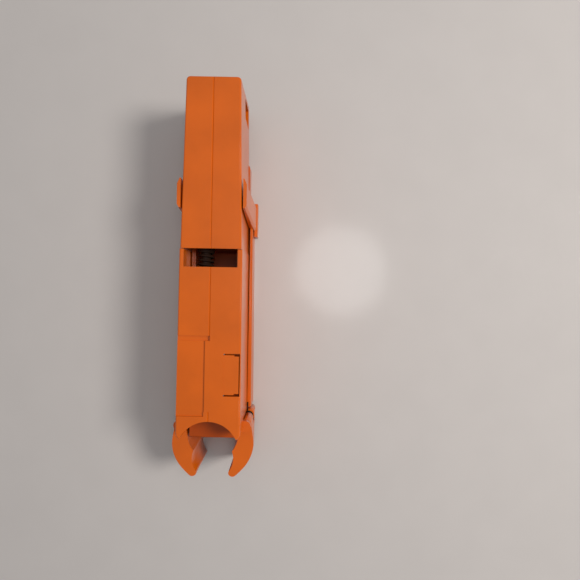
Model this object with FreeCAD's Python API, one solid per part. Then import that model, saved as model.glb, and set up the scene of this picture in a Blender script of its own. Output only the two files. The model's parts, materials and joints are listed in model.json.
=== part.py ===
import FreeCAD
import Part
import math
import os

os.makedirs("parts", exist_ok=True)

V = FreeCAD.Vector

# Sprung clip-on unit. Millimetres. +Z out of the front face, +Y towards the head, z = 0 under the tray.
WALL = 2.2                  # moulded wall
FRONT_Z = 50.0              # front face of both housings
CENTRE_SHIFT_Y = 0.66       # brings the origin to the middle of the overall length

# Upper head
HEAD_BACK_Z = 10.0
HEAD_LOW_Y = 15.2           # end that meets the body
HEAD_TOP_Y = 101.4          # top end at the front face
HEAD_TOP_BACK_Y = 104.4     # top end at the back face
HEAD_HALF_LOW = 15.4
HEAD_HALF_TOP = 13.75
LANYARD_Y = (88.4, 99.4)
LANYARD_Z = (12.2, 30.0)

# Lower body
BODY_TOP_Y = 14.9
BODY_LOW_Y = -81.1
BODY_BACK_Z = 2.7
BODY_HALF_TOP = 15.8
BODY_HALF_LOW = 16.3
WINDOW_LOW_Y = 5.9
ARCH_Y = -87.4
ARCH_R = 15.8
LAP_X = -2.35               # the right shell laps over the left one to here
LAP_Y = (-66.6, -31.1)

# Clip
TUBE_Y = -96.2              # centre of the gripped tube
TUBE_R = 11.1
PIN_X = 17.6
PIN_Y = -77.6
PIN_R = 1.4
KNUCKLE_R = 2.8
JAW_Z = (2.7, 34.0)
SPRING_POCKET_Z = (14.0, 20.4)

# Pull rod and its spring
ROD_X = -4.6
ROD_Z = 38.0
ROD_R = 2.5
SPRING_R = 4.5
SPRING_WIRE = 1.2
COLLAR_Y = (-24.0, -20.8)
BRIDGE_Y = (16.3, 19.3)

# Press tab
TAB_X = (7.4, 15.1)
TAB_Y = (-58.1, -38.1)
TAB_HINGE_Z = 48.75
BARREL_R = 1.1
TAB_CUT_X = (7.4, 15.6)
TAB_CUT_Y = (-58.8, -37.4)


def box(x0, x1, y0, y1, z0, z1):
    return Part.makeBox(x1 - x0, y1 - y0, z1 - z0, V(x0, y0, z0))


def rod(radius, length, start, direction):
    return Part.makeCylinder(radius, length, V(*start), V(*direction))


def prism(points, z0, z1):
    wire = Part.makePolygon([V(x, y, z0) for x, y in points + points[:1]])
    return Part.Face(wire).extrude(V(0, 0, z1 - z0))


def prism_x(points, x0, x1):
    wire = Part.makePolygon([V(x0, y, z) for y, z in points + points[:1]])
    return Part.Face(wire).extrude(V(x1 - x0, 0, 0))


def taper(half_low, y_low, half_high, y_high, z0, z1):
    return prism([(-half_low, y_low), (half_low, y_low), (half_high, y_high), (-half_high, y_high)], z0, z1)


def round_edges(shape, radius, chosen):
    edges = [e for e in shape.Edges if chosen(e.BoundBox)]
    return shape.makeFillet(radius, edges) if edges else shape


def mirror_x(shape):
    return shape.mirror(V(0, 0, 0), V(1, 0, 0))


def save(name, shape):
    shape = shape.copy()
    shape.translate(V(0, CENTRE_SHIFT_Y, 0))
    shape.exportStep("parts/" + name + ".step")


def fuse(first, *others):
    return first.fuse(list(others)).removeSplitter()


def seam_groove(x, y0, y1):
    """V-shaped cutter that breaks both edges of a seam in the front face."""
    half = 0.35
    wire = Part.makePolygon([V(x - half, y0, FRONT_Z + 0.01), V(x + half, y0, FRONT_Z + 0.01),
                             V(x, y0, FRONT_Z - half), V(x - half, y0, FRONT_Z + 0.01)])
    return Part.Face(wire).extrude(V(0, y1 - y0, 0))


# ---------------------------------------------------------------- upper head
def head_half(y):
    t = (y - HEAD_LOW_Y) / (HEAD_TOP_Y - HEAD_LOW_Y)
    return HEAD_HALF_LOW + t * (HEAD_HALF_TOP - HEAD_HALF_LOW)


HEAD_SCREW_Y = (46.0, 64.0, 80.0)
BODY_SCREW_Y = (-13.0, -30.0, -48.0)
CROSS_SCREW_Z = 22.0
BOSS_R = 3.2
SCREW_R = 1.4
SCREW_HEAD_R = 2.6

head = taper(HEAD_HALF_LOW, HEAD_LOW_Y, head_half(HEAD_TOP_BACK_Y), HEAD_TOP_BACK_Y, HEAD_BACK_Z, FRONT_Z)
beyond = HEAD_TOP_BACK_Y + 15
slanted_end = [(HEAD_TOP_Y, FRONT_Z), (HEAD_TOP_BACK_Y, HEAD_BACK_Z), (beyond, HEAD_BACK_Z), (beyond, FRONT_Z)]
head = head.cut(prism_x(slanted_end, -20, 20))
head = round_edges(head, 2.0, lambda b: b.ZLength > 20 and b.YMin > 90 and b.XLength < 1)
head = round_edges(head, 0.8, lambda b: b.ZMin > FRONT_Z - 0.01 and b.YMax > HEAD_LOW_Y + 0.5)
CAVITY_TOP = 85.2
head = head.cut(taper(head_half(HEAD_LOW_Y) - WALL, HEAD_LOW_Y - 1, head_half(CAVITY_TOP) - WALL, CAVITY_TOP,
                      HEAD_BACK_Z + WALL, FRONT_Z - WALL))
head = head.cut(box(-11.5, 11.5, CAVITY_TOP + 2, 99.0, LANYARD_Z[1] + WALL, FRONT_Z - WALL))
head = head.cut(round_edges(box(-20, 20, *LANYARD_Y, *LANYARD_Z), 1.5,
                            lambda b: b.XLength > 20 and b.ZMin > 20))
head = head.cut(box(-11.5, 11.5, HEAD_LOW_Y - 1, 20.2, HEAD_BACK_Z - 1, HEAD_BACK_Z + WALL + 1))
head = head.cut(seam_groove(0, HEAD_LOW_Y - 1, 110))
for rib_y in (27.6, 37.2):
    for side in (-1, 1):
        rib = box(9.6, 13.3, rib_y, rib_y + 2.2, 24.0, 48.0)
        head = head.fuse(rib if side > 0 else mirror_x(rib))
for side in (-1, 1):
    tongue = box(11.0, 13.3, -6.0, 24.0, 27.0, 33.0)
    tongue = tongue.cut(box(13.22, 14, -7, HEAD_LOW_Y, 20, 40))
    head = head.fuse(tongue if side > 0 else mirror_x(tongue))
for y in HEAD_SCREW_Y:
    head = head.fuse(rod(BOSS_R, 27.0, (-13.5, y, CROSS_SCREW_Z), (1, 0, 0)))
    head = head.cut(rod(SCREW_R, 24.5, (-14.0, y, CROSS_SCREW_Z), (1, 0, 0)))
    head = head.cut(rod(SCREW_HEAD_R + 0.1, 6.0, (-18.0, y, CROSS_SCREW_Z), (1, 0, 0)))
LANYARD_BAR = (11.2, 91.9)
LANYARD_BAR_R = 1.8
head = head.cut(rod(LANYARD_BAR_R, 21.4, (*LANYARD_BAR, 10.8), (0, 0, 1)))
head = head.removeSplitter()
save("head_left_shell", head.common(box(-30, 0, -20, 120, 0, 60)))
save("head_right_shell", head.common(box(0, 30, -20, 120, 0, 60)))
save("lanyard_bar", rod(LANYARD_BAR_R, 21.4, (*LANYARD_BAR, 10.8), (0, 0, 1)))

# ---------------------------------------------------------------- lower body
JAW_NOTCH_Y = -74.2         # the side walls stop here behind the claws
EAR_Z = (34.4, 37.4)


def body_half(y):
    t = (y - BODY_LOW_Y) / (BODY_TOP_Y - BODY_LOW_Y)
    return BODY_HALF_LOW + t * (BODY_HALF_TOP - BODY_HALF_LOW)


body = taper(BODY_HALF_LOW, BODY_LOW_Y, BODY_HALF_TOP, BODY_TOP_Y, BODY_BACK_Z, FRONT_Z)
body = round_edges(body, 3.5, lambda b: b.ZLength > 20 and b.YMax < -70)
body = round_edges(body, 0.8, lambda b: b.ZMin > FRONT_Z - 0.01 and b.YMin < BODY_TOP_Y - 0.5)
body = body.cut(taper(BODY_HALF_LOW - WALL, BODY_LOW_Y - 1, BODY_HALF_TOP - WALL, BODY_TOP_Y + 1,
                      BODY_BACK_Z - 1, FRONT_Z - WALL))
body = body.cut(box(-13.55, 13.55, WINDOW_LOW_Y, BODY_TOP_Y + 1, FRONT_Z - WALL - 1, FRONT_Z + 1))
body = body.cut(rod(ARCH_R, 20.0, (0, ARCH_Y, 34.4), (0, 0, 1)))
body = body.cut(box(-20, 20, -90, JAW_NOTCH_Y, 0, EAR_Z[0]))
# Pocket under the press tab
body = body.fuse(box(4.45, 15.6, TAB_CUT_Y[0] - 1.5, TAB_CUT_Y[1] + 1.5, 43.7, FRONT_Z - 0.8))
body = body.cut(box(*TAB_CUT_X, *TAB_CUT_Y, 45.2, FRONT_Z + 1))
body = body.cut(rod(BARREL_R + 0.08, TAB_CUT_Y[1] - TAB_CUT_Y[0], (TAB_X[0], TAB_CUT_Y[0], TAB_HINGE_Z), (0, 1, 0)))
# Sunk panel and groove of the left shell
body = body.cut(box(-17, LAP_X, -69.1, LAP_Y[1] + 0.3, FRONT_Z - 0.8, FRONT_Z + 1))
body = body.cut(box(-17, 0.3, LAP_Y[1], -28.6, FRONT_Z - 1.3, FRONT_Z + 1))
for side in (-1, 1):
    ear = fuse(rod(KNUCKLE_R, EAR_Z[1] - EAR_Z[0], (PIN_X, PIN_Y, EAR_Z[0]), (0, 0, 1)),
               box(14.3, PIN_X, PIN_Y - KNUCKLE_R, PIN_Y + KNUCKLE_R, *EAR_Z))
    body = body.fuse(ear if side > 0 else mirror_x(ear))
    pin_hole = rod(PIN_R, EAR_Z[1] - EAR_Z[0] - 0.8, (side * PIN_X, PIN_Y, EAR_Z[0]), (0, 0, 1))
    body = body.cut(pin_hole)
for y in BODY_SCREW_Y:
    body = body.fuse(rod(BOSS_R, 28.0, (-14.0, y, CROSS_SCREW_Z), (1, 0, 0)))
    body = body.cut(rod(SCREW_R, 24.5, (-14.5, y, CROSS_SCREW_Z), (1, 0, 0)))
    body = body.cut(rod(SCREW_HEAD_R + 0.1, 6.0, (-18.5, y, CROSS_SCREW_Z), (1, 0, 0)))
TRAY_SCREW_XY = [(side * 10.4, y) for y in (-64.0, 0.0) for side in (-1, 1)]
BRIDGE_SCREW_XY = [(side * 6.0, 9.6) for side in (-1, 1)]
TRAY_SCREW_TOP = 7.6
for x, y in TRAY_SCREW_XY:
    boss = box(7.4, 14.4, y - 3, y + 3, BODY_BACK_Z, 9.5)
    body = body.fuse(boss if x > 0 else mirror_x(boss))
    body = body.cut(rod(1.2, TRAY_SCREW_TOP - 2, (x, y, 2.0), (0, 0, 1)))
body = body.cut(seam_groove(0, -31.0, WINDOW_LOW_Y + 1))
body = body.cut(seam_groove(LAP_X, LAP_Y[0], LAP_Y[1]))
body = body.cut(seam_groove(0, -75, LAP_Y[0]))
# Hinge pin of the press tab sits in the front wall
LATCH_PIN_R = 0.6
latch_pin = rod(LATCH_PIN_R, 23.8, (TAB_X[0], TAB_CUT_Y[0] - 1.2, TAB_HINGE_Z), (0, 1, 0))
body = body.cut(latch_pin).removeSplitter()
lap = box(LAP_X, 0, *LAP_Y, FRONT_Z - 4, FRONT_Z + 1)
save("left_body_shell", body.common(box(-30, 0, -100, 20, 0, 60)).cut(lap))
save("right_body_shell", body.common(fuse(box(0, 30, -100, 20, 0, 60), lap)))
save("latch_pin", latch_pin)

# ---------------------------------------------------------------- press tab
barrel = rod(BARREL_R, TAB_Y[1] - TAB_Y[0], (TAB_X[0], TAB_Y[0], TAB_HINGE_Z), (0, 1, 0))
plate = box(*TAB_X, *TAB_Y, 48.2, FRONT_Z - 0.15)
# The slits are narrow beside the hinge half of the tab and wide beside its finger end
plate = plate.cut(box(12.7, 16, TAB_Y[1] - 0.6, TAB_Y[1] + 1, 48, 51))
plate = plate.cut(box(12.7, 16, TAB_Y[0] - 1, TAB_Y[0] + 0.6, 48, 51))
tab = fuse(barrel, plate).cut(rod(LATCH_PIN_R + 0.05, 40, (TAB_X[0], -70, TAB_HINGE_Z), (0, 1, 0)))
save("latch_tab", tab)

# ---------------------------------------------------------------- back tray
TRAY_FLOOR = 2.4
FLANGE_Z = 15.4
FLANGE_Y = (-72.8, 45.2)
TRAY_END_Y = 69.2
tray = taper(18.6, FLANGE_Y[0], 17.6, FLANGE_Y[1], 0, FLANGE_Z)
tray = tray.cut(box(-16.4, 16.4, -90, 80, TRAY_FLOOR, 20))
tray = round_edges(tray, 1.0, lambda b: b.YLength > 100 and b.ZMin > 15 and abs(b.XMin) > 17)
end_section = box(-15, 15, FLANGE_Y[1] - 2, TRAY_END_Y, 0, 9.7)
end_section = round_edges(end_section, 2.5, lambda b: b.ZLength > 5 and b.YMin > 60)
end_section = end_section.cut(box(-12.8, 12.8, 20, TRAY_END_Y - WALL, TRAY_FLOOR, 12))
tray = fuse(tray, end_section, box(-14.5, 14.5, -82.8, -70, 0, TRAY_FLOOR))
for side in (-1, 1):
    ear = fuse(rod(2.3, TRAY_FLOOR, (PIN_X, PIN_Y, 0), (0, 0, 1)),
               box(12, PIN_X, PIN_Y - 2.3, PIN_Y + 2.3, 0, TRAY_FLOOR))
    tray = tray.fuse(ear if side > 0 else mirror_x(ear))
    tray = tray.cut(rod(PIN_R, TRAY_FLOOR, (side * PIN_X, PIN_Y, 0.8), (0, 0, 1)))
for x, y in TRAY_SCREW_XY + BRIDGE_SCREW_XY:
    tray = tray.cut(rod(1.25, 10, (x, y, -1), (0, 0, 1)))
    tray = tray.cut(rod(SCREW_HEAD_R, 2.7, (x, y, -1), (0, 0, 1)))
save("back_tray", tray.removeSplitter())

# ---------------------------------------------------------------- collar struts
STRUT_INNER_X = 15.7
STRUT_SECTIONS = ((0.0, 28.0, 45.2, 19.6), (FRONT_Z, 35.6, 50.4, 17.5))    # z, y from, y to, outer x
PAD_Y = (26.4, 46.0)
sections = []
for z, y_from, y_to, outer in STRUT_SECTIONS:
    corners = [(STRUT_INNER_X, y_from), (outer - 0.9, y_from), (outer, y_from + 1.6), (outer, y_to - 3.0),
               (STRUT_INNER_X + 0.5, y_to), (STRUT_INNER_X, y_to)]
    sections.append(Part.makePolygon([V(x, y, z) for x, y in corners + corners[:1]]))
post = Part.makeLoft(sections, True, True)
# Room for the tray's side wall behind the post
post = post.cut(box(10, 18.1, 20, 45.5, -1, FLANGE_Z + 0.3))
post = post.cut(box(10, 15.7, 20, 60, -1, 60))
pad = box(18.1, 19.9, *PAD_Y, 0, 8.0)
pad = round_edges(pad, 1.2, lambda b: b.YLength > 15 and b.ZMin > 5 and b.XMin > 19)
strut = fuse(post, pad)
save("right_collar_strut", strut)
save("left_collar_strut", mirror_x(strut))

# ---------------------------------------------------------------- claws
ARC_FROM = 21.0
ARC_TO = -38.0
claw_points = [(PIN_X + 2.7, PIN_Y + 0.5), (21.5, -84.4), (21.8, -89.0), (20.6, -94.4), (17.4, -100.0),
               (13.0, -104.6), (11.6, -105.6), (9.6, -105.4), (8.6, -103.6)]
curve = Part.BSplineCurve()
curve.interpolate([V(x, y, JAW_Z[0]) for x, y in claw_points])
mouth = [(11.6, -90.4), (12.9, -87.6), (13.7, -84.0), (PIN_X - 2.7, PIN_Y - 0.6), (PIN_X, PIN_Y + 2.0), (PIN_X + 2.7, PIN_Y + 0.5)]


def on_tube(angle):
    a = math.radians(angle)
    return V(TUBE_R * math.cos(a), TUBE_Y + TUBE_R * math.sin(a), JAW_Z[0])


inner = Part.Arc(on_tube(ARC_TO), on_tube((ARC_TO + ARC_FROM) / 2), on_tube(ARC_FROM)).toShape()
tip_line = Part.makeLine(V(*claw_points[-1], JAW_Z[0]), on_tube(ARC_TO))
rest_line = Part.makePolygon([on_tube(ARC_FROM)] + [V(x, y, JAW_Z[0]) for x, y in mouth])
profile = Part.Wire(Part.__sortEdges__([curve.toShape(), tip_line, inner] + rest_line.Edges))
jaw = Part.Face(profile).extrude(V(0, 0, JAW_Z[1] - JAW_Z[0]))
jaw = jaw.fuse(rod(KNUCKLE_R, JAW_Z[1] - JAW_Z[0], (PIN_X, PIN_Y, JAW_Z[0]), (0, 0, 1)))
# Outer flank drafts in towards the back
slab = Part.makePolygon([V(19.6, 0, 0), V(22.1, 0, 34.5), V(30, 0, 34.5), V(30, 0, 0), V(19.6, 0, 0)])
jaw = jaw.cut(Part.Face(slab).extrude(V(0, -130, 0)))
pocket_r = KNUCKLE_R + 0.9
pocket = rod(pocket_r, SPRING_POCKET_Z[1] - SPRING_POCKET_Z[0], (PIN_X, PIN_Y, SPRING_POCKET_Z[0]), (0, 0, 1))
leg_slot = box(19.0, 23.0, PIN_Y - 8.0, PIN_Y, 17.8, SPRING_POCKET_Z[1])
jaw = jaw.cut(pocket).cut(leg_slot)
jaw = jaw.cut(rod(PIN_R + 0.05, 60, (PIN_X, PIN_Y, -5), (0, 0, 1)))
jaw = jaw.removeSplitter()
jaw_pin = rod(PIN_R, EAR_Z[1] - 1.6, (PIN_X, PIN_Y, 0.8), (0, 0, 1))
COIL_WIRE_R = 0.4
coil = rod(2.6, 3.2, (PIN_X, PIN_Y, 15.2), (0, 0, 1)).cut(rod(1.75, 5, (PIN_X, PIN_Y, 14), (0, 0, 1)))
jaw_leg = rod(COIL_WIRE_R, 6.6, (PIN_X + 2.1, PIN_Y, 18.3), (0, -1, 0))
wall_leg = rod(COIL_WIRE_R, 5.9, (PIN_X - 0.85, PIN_Y + 1.75, 15.9), (0, 1, 0))
jaw_spring = fuse(coil, jaw_leg, wall_leg)
for side, turn in (("right", lambda s: s), ("left", mirror_x)):
    save(side + "_jaw", turn(jaw))
    save(side + "_jaw_pin", turn(jaw_pin))
    save(side + "_jaw_spring", turn(jaw_spring))

# ---------------------------------------------------------------- clamp foot and pull rod
FOOT_Y = (TUBE_Y + TUBE_R + 0.05, -62.8)
FOOT_Z = (14.0, 34.0)
foot = box(-12.6, 12.6, *FOOT_Y, *FOOT_Z)
foot = round_edges(foot, 1.0, lambda b: b.ZLength > 5 or (b.ZMin > 33.9 and b.XLength > 5))
foot = foot.cut(box(-10.2, 10.2, FOOT_Y[0] + 2.4, FOOT_Y[1] - 2.4, FOOT_Z[0] - 1, FOOT_Z[1] - 2.4))
lug = box(ROD_X - 5, ROD_X + 5, -68.0, FOOT_Y[1], FOOT_Z[1] - 1, 42.6)
lug = round_edges(lug, 2.0, lambda b: b.YLength > 3 and b.ZMin > 42)
ROD_Y = (-71.6, 41.6)
pull_rod = rod(ROD_R, ROD_Y[1] - ROD_Y[0], (ROD_X, ROD_Y[0], ROD_Z), (0, 1, 0))
save("clamp_foot", fuse(foot, lug).cut(pull_rod))
save("pull_rod", pull_rod)


def ring(outer, y0, y1):
    return rod(outer, y1 - y0, (ROD_X, y0, ROD_Z), (0, 1, 0)).cut(pull_rod)


save("rod_collar", ring(SPRING_R, *COLLAR_Y))
spring_shell = rod(SPRING_R, BRIDGE_Y[0] - COLLAR_Y[1], (ROD_X, COLLAR_Y[1], ROD_Z), (0, 1, 0))
save("return_spring", spring_shell.cut(rod(SPRING_R - SPRING_WIRE, 60, (ROD_X, -30, ROD_Z), (0, 1, 0))))
anchor = box(-12.6, 12.6, 29.8, 37.2, 30.0, 46.0).cut(pull_rod)
save("rod_anchor", anchor)
NUT_FLAT = 4.0


def hex_nut(y0, y1):
    corners = [V(ROD_X + NUT_FLAT / math.cos(math.pi / 6) * math.cos(math.pi / 3 * i), y0,
                 ROD_Z + NUT_FLAT / math.cos(math.pi / 6) * math.sin(math.pi / 3 * i)) for i in range(7)]
    return Part.Face(Part.makePolygon(corners)).extrude(V(0, y1 - y0, 0)).cut(pull_rod)


save("rod_nuts", Part.makeCompound([hex_nut(-71.2, -68.0), hex_nut(37.2, 40.4)]))
bridge = fuse(box(-10.4, 10.4, *BRIDGE_Y, TRAY_FLOOR, 44.0), box(-10.4, 10.4, 5.6, BRIDGE_Y[0] + 1, TRAY_FLOOR, 7.0))
bridge = bridge.cut(rod(ROD_R + 0.4, 40, (ROD_X, 0, ROD_Z), (0, 1, 0)))
for x, y in BRIDGE_SCREW_XY:
    bridge = bridge.cut(rod(1.2, 5.6, (x, y, 0), (0, 0, 1)))
save("spring_bridge", bridge)

# ---------------------------------------------------------------- screws
def screw(shaft_r, shaft, head_r, head_height, start, direction):
    base = V(*start)
    way = V(*direction)
    head_solid = Part.makeCylinder(head_r, head_height, base, way)
    socket = Part.makeCylinder(head_r * 0.45, head_height * 0.5, base, way)
    return fuse(head_solid, Part.makeCylinder(shaft_r, shaft, base + way * head_height, way)).cut(socket)


save("head_screws", Part.makeCompound(
    [screw(SCREW_R, 20.0, SCREW_HEAD_R, 1.4, (-13.4, y, CROSS_SCREW_Z), (1, 0, 0)) for y in HEAD_SCREW_Y]))
save("body_screws", Part.makeCompound(
    [screw(SCREW_R, 20.0, SCREW_HEAD_R, 1.4, (-13.9, y, CROSS_SCREW_Z), (1, 0, 0)) for y in BODY_SCREW_Y]))
save("tray_screws", Part.makeCompound(
    [screw(1.2, 3.4, SCREW_HEAD_R - 0.1, 1.3, (x, y, 0.4), (0, 0, 1)) for x, y in TRAY_SCREW_XY + BRIDGE_SCREW_XY]))
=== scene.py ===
import json
import math
import bpy
import bmesh
from mathutils import Matrix, Vector


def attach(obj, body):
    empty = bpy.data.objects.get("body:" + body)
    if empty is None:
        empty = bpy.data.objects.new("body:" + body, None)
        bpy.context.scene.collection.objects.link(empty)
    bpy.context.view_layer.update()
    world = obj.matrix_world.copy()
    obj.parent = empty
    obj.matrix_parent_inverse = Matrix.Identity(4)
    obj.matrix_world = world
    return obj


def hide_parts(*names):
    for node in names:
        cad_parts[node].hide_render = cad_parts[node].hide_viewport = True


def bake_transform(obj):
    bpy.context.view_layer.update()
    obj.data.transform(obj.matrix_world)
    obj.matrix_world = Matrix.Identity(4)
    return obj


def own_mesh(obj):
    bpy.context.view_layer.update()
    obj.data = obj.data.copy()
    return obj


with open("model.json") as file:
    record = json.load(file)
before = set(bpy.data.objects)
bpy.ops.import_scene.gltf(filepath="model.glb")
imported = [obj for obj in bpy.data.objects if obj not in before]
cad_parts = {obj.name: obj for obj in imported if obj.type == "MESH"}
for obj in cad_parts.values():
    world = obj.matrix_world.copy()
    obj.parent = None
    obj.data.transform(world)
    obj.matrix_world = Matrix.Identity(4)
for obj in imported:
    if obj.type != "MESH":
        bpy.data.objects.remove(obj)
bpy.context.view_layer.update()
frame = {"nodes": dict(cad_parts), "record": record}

MM = 0.001
SHIFT = 0.66                 # the origin is in the middle of the length, in mm


def at(x, y, z):
    """A point given in the object's own millimetres, before the shift."""
    return Vector((x * MM, (y + SHIFT) * MM, z * MM))


# ------------------------------------------------------------------ materials
def material(name, colour, rough, metallic=0.0, coat=0.0, fine=900.0, bump=0.02, mottling=0.06, specular=0.5):
    """Principled material with a mottled colour, uneven roughness and a fine moulded or drawn grain."""
    mat = bpy.data.materials.new(name)
    mat.use_nodes = True
    nodes = mat.node_tree.nodes
    links = mat.node_tree.links
    shader = nodes["Principled BSDF"]
    shader.inputs["Metallic"].default_value = metallic
    shader.inputs["Coat Weight"].default_value = coat
    shader.inputs["Coat Roughness"].default_value = 0.12
    shader.inputs["Specular IOR Level"].default_value = specular
    place = nodes.new("ShaderNodeTexCoord")
    cloud = nodes.new("ShaderNodeTexNoise")
    cloud.inputs["Scale"].default_value = 38.0
    cloud.inputs["Detail"].default_value = 4.0
    grain = nodes.new("ShaderNodeTexNoise")
    grain.inputs["Scale"].default_value = fine
    grain.inputs["Detail"].default_value = 3.0
    tint = nodes.new("ShaderNodeValToRGB")
    dark = [c * (1 - mottling) for c in colour]
    light = [min(1.0, c * (1 + mottling)) for c in colour]
    tint.color_ramp.elements[0].position = 0.35
    tint.color_ramp.elements[0].color = (*dark, 1)
    tint.color_ramp.elements[1].position = 0.65
    tint.color_ramp.elements[1].color = (*light, 1)
    gloss = nodes.new("ShaderNodeMapRange")
    gloss.inputs["To Min"].default_value = rough * 0.85
    gloss.inputs["To Max"].default_value = rough * 1.15
    bumps = nodes.new("ShaderNodeBump")
    bumps.inputs["Strength"].default_value = bump
    bumps.inputs["Distance"].default_value = 0.0002
    for texture in (cloud, grain):
        links.new(place.outputs["Object"], texture.inputs["Vector"])
    links.new(cloud.outputs["Fac"], tint.inputs["Fac"])
    links.new(tint.outputs["Color"], shader.inputs["Base Color"])
    links.new(grain.outputs["Fac"], gloss.inputs["Value"])
    links.new(gloss.outputs["Result"], shader.inputs["Roughness"])
    links.new(grain.outputs["Fac"], bumps.inputs["Height"])
    links.new(bumps.outputs["Normal"], shader.inputs["Normal"])
    return mat


ORANGE = material("orange_shell", (0.66, 0.118, 0.003), 0.30, coat=0.4, specular=0.35, mottling=0.07)
TRAY = material("orange_tray", (0.60, 0.104, 0.003), 0.33, coat=0.3, specular=0.35)
# Foot plastic: the shell orange darkened to paint in the shade that falls on the foot panel.
FOOT_PAINTED_SHADE = material("foot_orange_painted_shade", (0.42, 0.062, 0.002), 0.45, specular=0.35)
STEEL = material("bright_steel", (0.62, 0.6, 0.58), 0.25, metallic=1.0, fine=1600.0, bump=0.05)
BLACK = material("black_wire", (0.022, 0.010, 0.006), 0.6, bump=0.05, specular=0.25)

slots = {"orange_plastic": ORANGE, "tray_plastic": TRAY, "foot_plastic": FOOT_PAINTED_SHADE, "bright_steel": STEEL,
         "black_steel": BLACK}
record = frame["record"]
slot_of = {part["node"]: part["material_slot"] for part in record["subparts"]}
for name, node in frame["nodes"].items():
    node.data.materials.clear()
    node.data.materials.append(slots[slot_of[name]])
    weld = node.modifiers.new("weld", "WELD")
    weld.merge_threshold = 0.00001
    if name.endswith(("shell", "jaw", "strut", "tray", "foot", "tab")):
        edge = node.modifiers.new("edge", "BEVEL")
        edge.width = 0.00045
        edge.segments = 2
        edge.limit_method = "ANGLE"
        edge.angle_limit = math.radians(40)
        edge.harden_normals = True


# ------------------------------------------------------------------ coil springs
def tube_along(name, points, radius, sides, mat):
    """Round wire swept along a list of points."""
    mesh = bpy.data.meshes.new(name)
    shape = bmesh.new()
    rings = []
    normal = Vector((0, 0, 1))
    for i, point in enumerate(points):
        ahead = points[min(i + 1, len(points) - 1)]
        behind = points[max(i - 1, 0)]
        way = (ahead - behind).normalized()
        normal = (normal - way * normal.dot(way)).normalized()
        across = way.cross(normal)
        ring = []
        for k in range(sides):
            a = 2 * math.pi * k / sides
            ring.append(shape.verts.new(point + (normal * math.cos(a) + across * math.sin(a)) * radius))
        rings.append(ring)
    for low, high in zip(rings, rings[1:]):
        for k in range(sides):
            face = shape.faces.new((low[k], low[(k + 1) % sides], high[(k + 1) % sides], high[k]))
            face.smooth = True
    shape.faces.new(list(reversed(rings[0])))
    shape.faces.new(rings[-1])
    bmesh.ops.recalc_face_normals(shape, faces=shape.faces)
    shape.to_mesh(mesh)
    shape.free()
    piece = bpy.data.objects.new(name, mesh)
    bpy.context.scene.collection.objects.link(piece)
    mesh.materials.append(mat)
    return piece


def return_coil():
    """Compression spring round the pull rod, with closed end turns."""
    y_low, y_high = -20.75, 16.25
    wire, radius, turns = 0.6, 3.88, 18
    points = []
    steps = turns * 24
    for i in range(steps + 1):
        t = i / steps
        closed = 0.1
        if t < closed:
            y = y_low + wire + t / closed * 1.3
        elif t > 1 - closed:
            y = y_high - wire - (1 - t) / closed * 1.3
        else:
            y = y_low + wire + 1.3 + (t - closed) / (1 - 2 * closed) * (y_high - y_low - 2 * wire - 2.6)
        a = 2 * math.pi * turns * t
        points.append(at(-4.6 + radius * math.cos(a), y, 38.0 + radius * math.sin(a)))
    return tube_along("return_spring_coil", points, wire * MM, 10, BLACK)


coil = return_coil()
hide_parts("return_spring")
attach(coil, "housing")
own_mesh(coil)


def jaw_coil(side):
    """Torsion spring on a claw pin: one leg on the shell wall, one leg along the claw."""
    pin_x, pin_y, radius, wall_side = 17.6, -77.6, 2.15, 0.85
    start = math.acos(-wall_side / radius)
    sweep = start + 2 * math.pi * 3
    points = [at(side * (pin_x - wall_side), pin_y + 7.4, 15.8), at(side * (pin_x - wall_side), pin_y + 3.0, 15.8)]
    steps = 96
    for i in range(steps + 1):
        t = i / steps
        a = start - sweep * t
        points.append(at(side * (pin_x + radius * math.cos(a)), pin_y + radius * math.sin(a), 15.8 + 2.5 * t))
    points.append(at(side * (pin_x + radius), pin_y - 3.0, 18.3))
    points.append(at(side * (pin_x + radius), pin_y - 6.4, 18.3))
    return points


for side, word in ((-1, "left"), (1, "right")):
    wire = tube_along(word + "_jaw_spring_coil", jaw_coil(side), 0.38 * MM, 8, BLACK)
    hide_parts(word + "_jaw_spring")
    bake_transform(wire)

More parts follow.
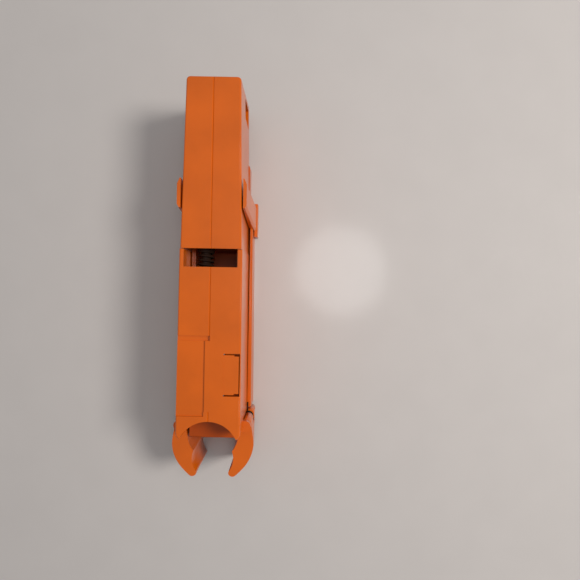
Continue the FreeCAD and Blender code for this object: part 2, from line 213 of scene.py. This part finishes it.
# ------------------------------------------------------------------ stage
def floor():
    """Pale table top under the object."""
    mesh = bpy.data.meshes.new("floor")
    reach = 0.9
    corners = [(-reach, -reach, 0), (reach, -reach, 0), (reach, reach, 0), (-reach, reach, 0)]
    mesh.from_pydata(corners, [], [(0, 1, 2, 3)])
    piece = bpy.data.objects.new("floor", mesh)
    bpy.context.scene.collection.objects.link(piece)
    pale = material("pale_table", (0.58, 0.545, 0.52), 0.45, coat=0.6, bump=0.004, mottling=0.01)
    mesh.materials.append(pale)
    return piece


table = floor()


def area_light(name, place, aim, size, watts, colour):
    """Round soft lamp at place, turned towards aim."""
    lamp = bpy.data.lights.new(name, "AREA")
    lamp.shape = "DISK"
    lamp.size = size
    lamp.energy = watts
    lamp.color = colour
    holder = bpy.data.objects.new(name, lamp)
    bpy.context.scene.collection.objects.link(holder)
    holder.location = place
    holder.rotation_euler = (Vector(aim) - Vector(place)).to_track_quat("-Z", "Y").to_euler()
    return holder


key = area_light("key", (0.70, 0.10, 0.80), (0, 0, 0.02), 0.34, 7.2, (1.0, 0.96, 0.92))
key.visible_glossy = False
fill = area_light("fill", (0.10, 0.35, 1.0), (0, 0, 0.02), 0.9, 1.2, (1.0, 0.99, 0.98))
fill.visible_glossy = False
ceiling = area_light("ceiling_lamp", (0.208, 0.063, 1.2), (0.07, 0.008, 0), 0.30, 1.1, (1.0, 0.98, 0.96))

world = bpy.data.worlds.new("soft_room")
world.use_nodes = True
world.node_tree.nodes["Background"].inputs["Color"].default_value = (0.95, 0.96, 1.0, 1)
world.node_tree.nodes["Background"].inputs["Strength"].default_value = 0.27
bpy.context.scene.world = world
bpy.context.scene.view_settings.view_transform = "Standard"

# ------------------------------------------------------------------ camera
# Looks straight down from beside the object, turned slightly
TURN = math.radians(1.05)
lens = bpy.data.cameras.new("camera")
lens.sensor_width = 36.0
lens.lens = 27.06
camera = bpy.data.objects.new("camera", lens)
bpy.context.scene.collection.objects.link(camera)
camera.matrix_world = Matrix.Translation((0.040, -0.0049 + 0.00066, 0.268)) @ Matrix.Rotation(TURN, 4, "Z")
bpy.context.scene.camera = camera
